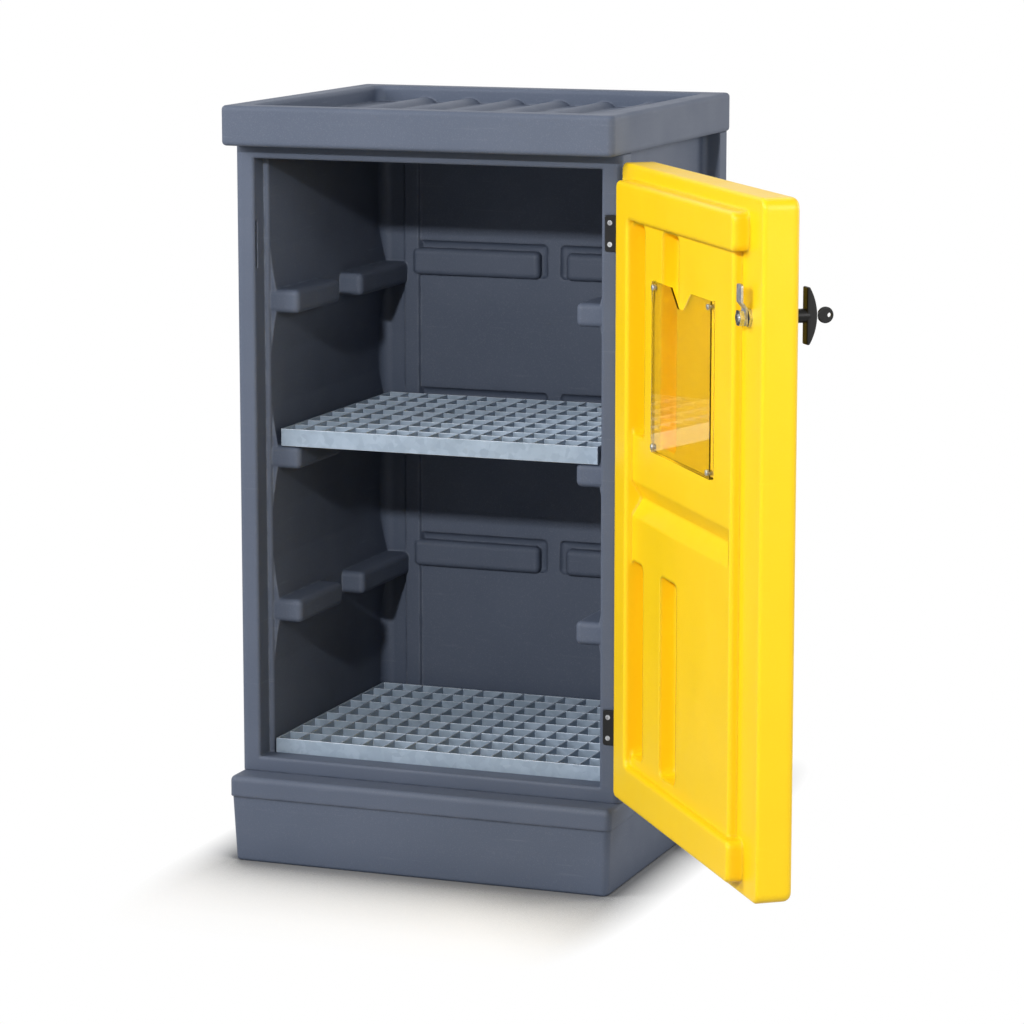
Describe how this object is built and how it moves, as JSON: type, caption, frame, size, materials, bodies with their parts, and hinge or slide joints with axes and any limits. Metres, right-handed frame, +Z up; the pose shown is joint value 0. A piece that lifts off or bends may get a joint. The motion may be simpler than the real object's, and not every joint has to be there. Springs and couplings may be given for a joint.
{
  "type": "chemical storage cabinet",
  "caption": "Moulded plastic cabinet for hazardous liquids, with a sump in its plinth, grating shelves, a tray top and a hinged door with a wing handle, key and document pocket.",
  "frame": {"origin": "on the floor under the middle of the body", "axes": "+Z up, -Y towards the front with the door opening, +X to the right, the hinge side"},
  "size_m": [0.9952, 0.9467, 1.1],
  "materials": {
    "body_plastic": "semi-matte moulded polyethylene",
    "door_plastic": "semi-matte moulded polyethylene",
    "galvanised": "hot-dip galvanised",
    "black_plastic": "satin",
    "zinc": "zinc plated",
    "bright_steel": "nickel plated",
    "clear_plastic": "clear acrylic"
  },
  "bodies": {
    "cabinet": {"cabinet_body": "body_plastic", "sump_base": "body_plastic", "top_tray": "body_plastic", "upper_hinge_frame_leaf": "black_plastic", "lower_hinge_frame_leaf": "black_plastic", "upper_hinge_pin": "zinc", "lower_hinge_pin": "zinc", "frame_leaf_screws": "zinc"},
    "door": {"door_shell": "door_plastic", "upper_hinge_door_leaf": "black_plastic", "lower_hinge_door_leaf": "black_plastic", "door_leaf_screws": "zinc", "document_pocket": "clear_plastic", "pocket_spacers": "clear_plastic", "pocket_screws": "zinc", "lock_housing": "black_plastic", "lock_housing_nut": "bright_steel"},
    "handle": {"wing_handle": "black_plastic", "lock_spindle": "bright_steel", "latch_tongue": "zinc", "latch_washer": "zinc", "latch_nut": "bright_steel"},
    "lock": {"lock_core": "bright_steel"},
    "key": {"key_blade": "bright_steel", "key_head": "black_plastic"},
    "middle_shelf": {"middle_shelf_band": "galvanised", "middle_shelf_bearing_bars": "galvanised", "middle_shelf_cross_bars": "galvanised"},
    "lower_shelf": {"lower_shelf_band": "galvanised", "lower_shelf_bearing_bars": "galvanised", "lower_shelf_cross_bars": "galvanised"}
  },
  "joints": [
    {"name": "door_swing", "type": "hinge", "parent": "cabinet", "child": "door", "pos_m": [0.289, -0.22325, 0.586], "axis": [0, 0, 1], "range_deg": [-127, 38]},
    {"name": "handle_turn", "type": "hinge", "parent": "door", "child": "handle", "pos_m": [0.65029, -0.61588, 0.882], "axis": [0.7986, 0.6018, 0], "range_deg": [0, 90]},
    {"name": "lock_turn", "type": "hinge", "parent": "handle", "child": "lock", "pos_m": [0.65029, -0.61588, 0.882], "axis": [0.7986, 0.6018, 0], "range_deg": [0, 90]},
    {"name": "key_pull", "type": "slide", "parent": "lock", "child": "key", "axis": [0.7986, 0.6018, 0], "range_m": [0, 0.025]},
    {"name": "middle_shelf_lift", "type": "slide", "parent": "cabinet", "child": "middle_shelf", "axis": [0, 0, 1], "range_m": [0, 0.06]},
    {"name": "lower_shelf_lift", "type": "slide", "parent": "cabinet", "child": "lower_shelf", "axis": [0, 0, 1], "range_m": [0, 0.06]}
  ]
}
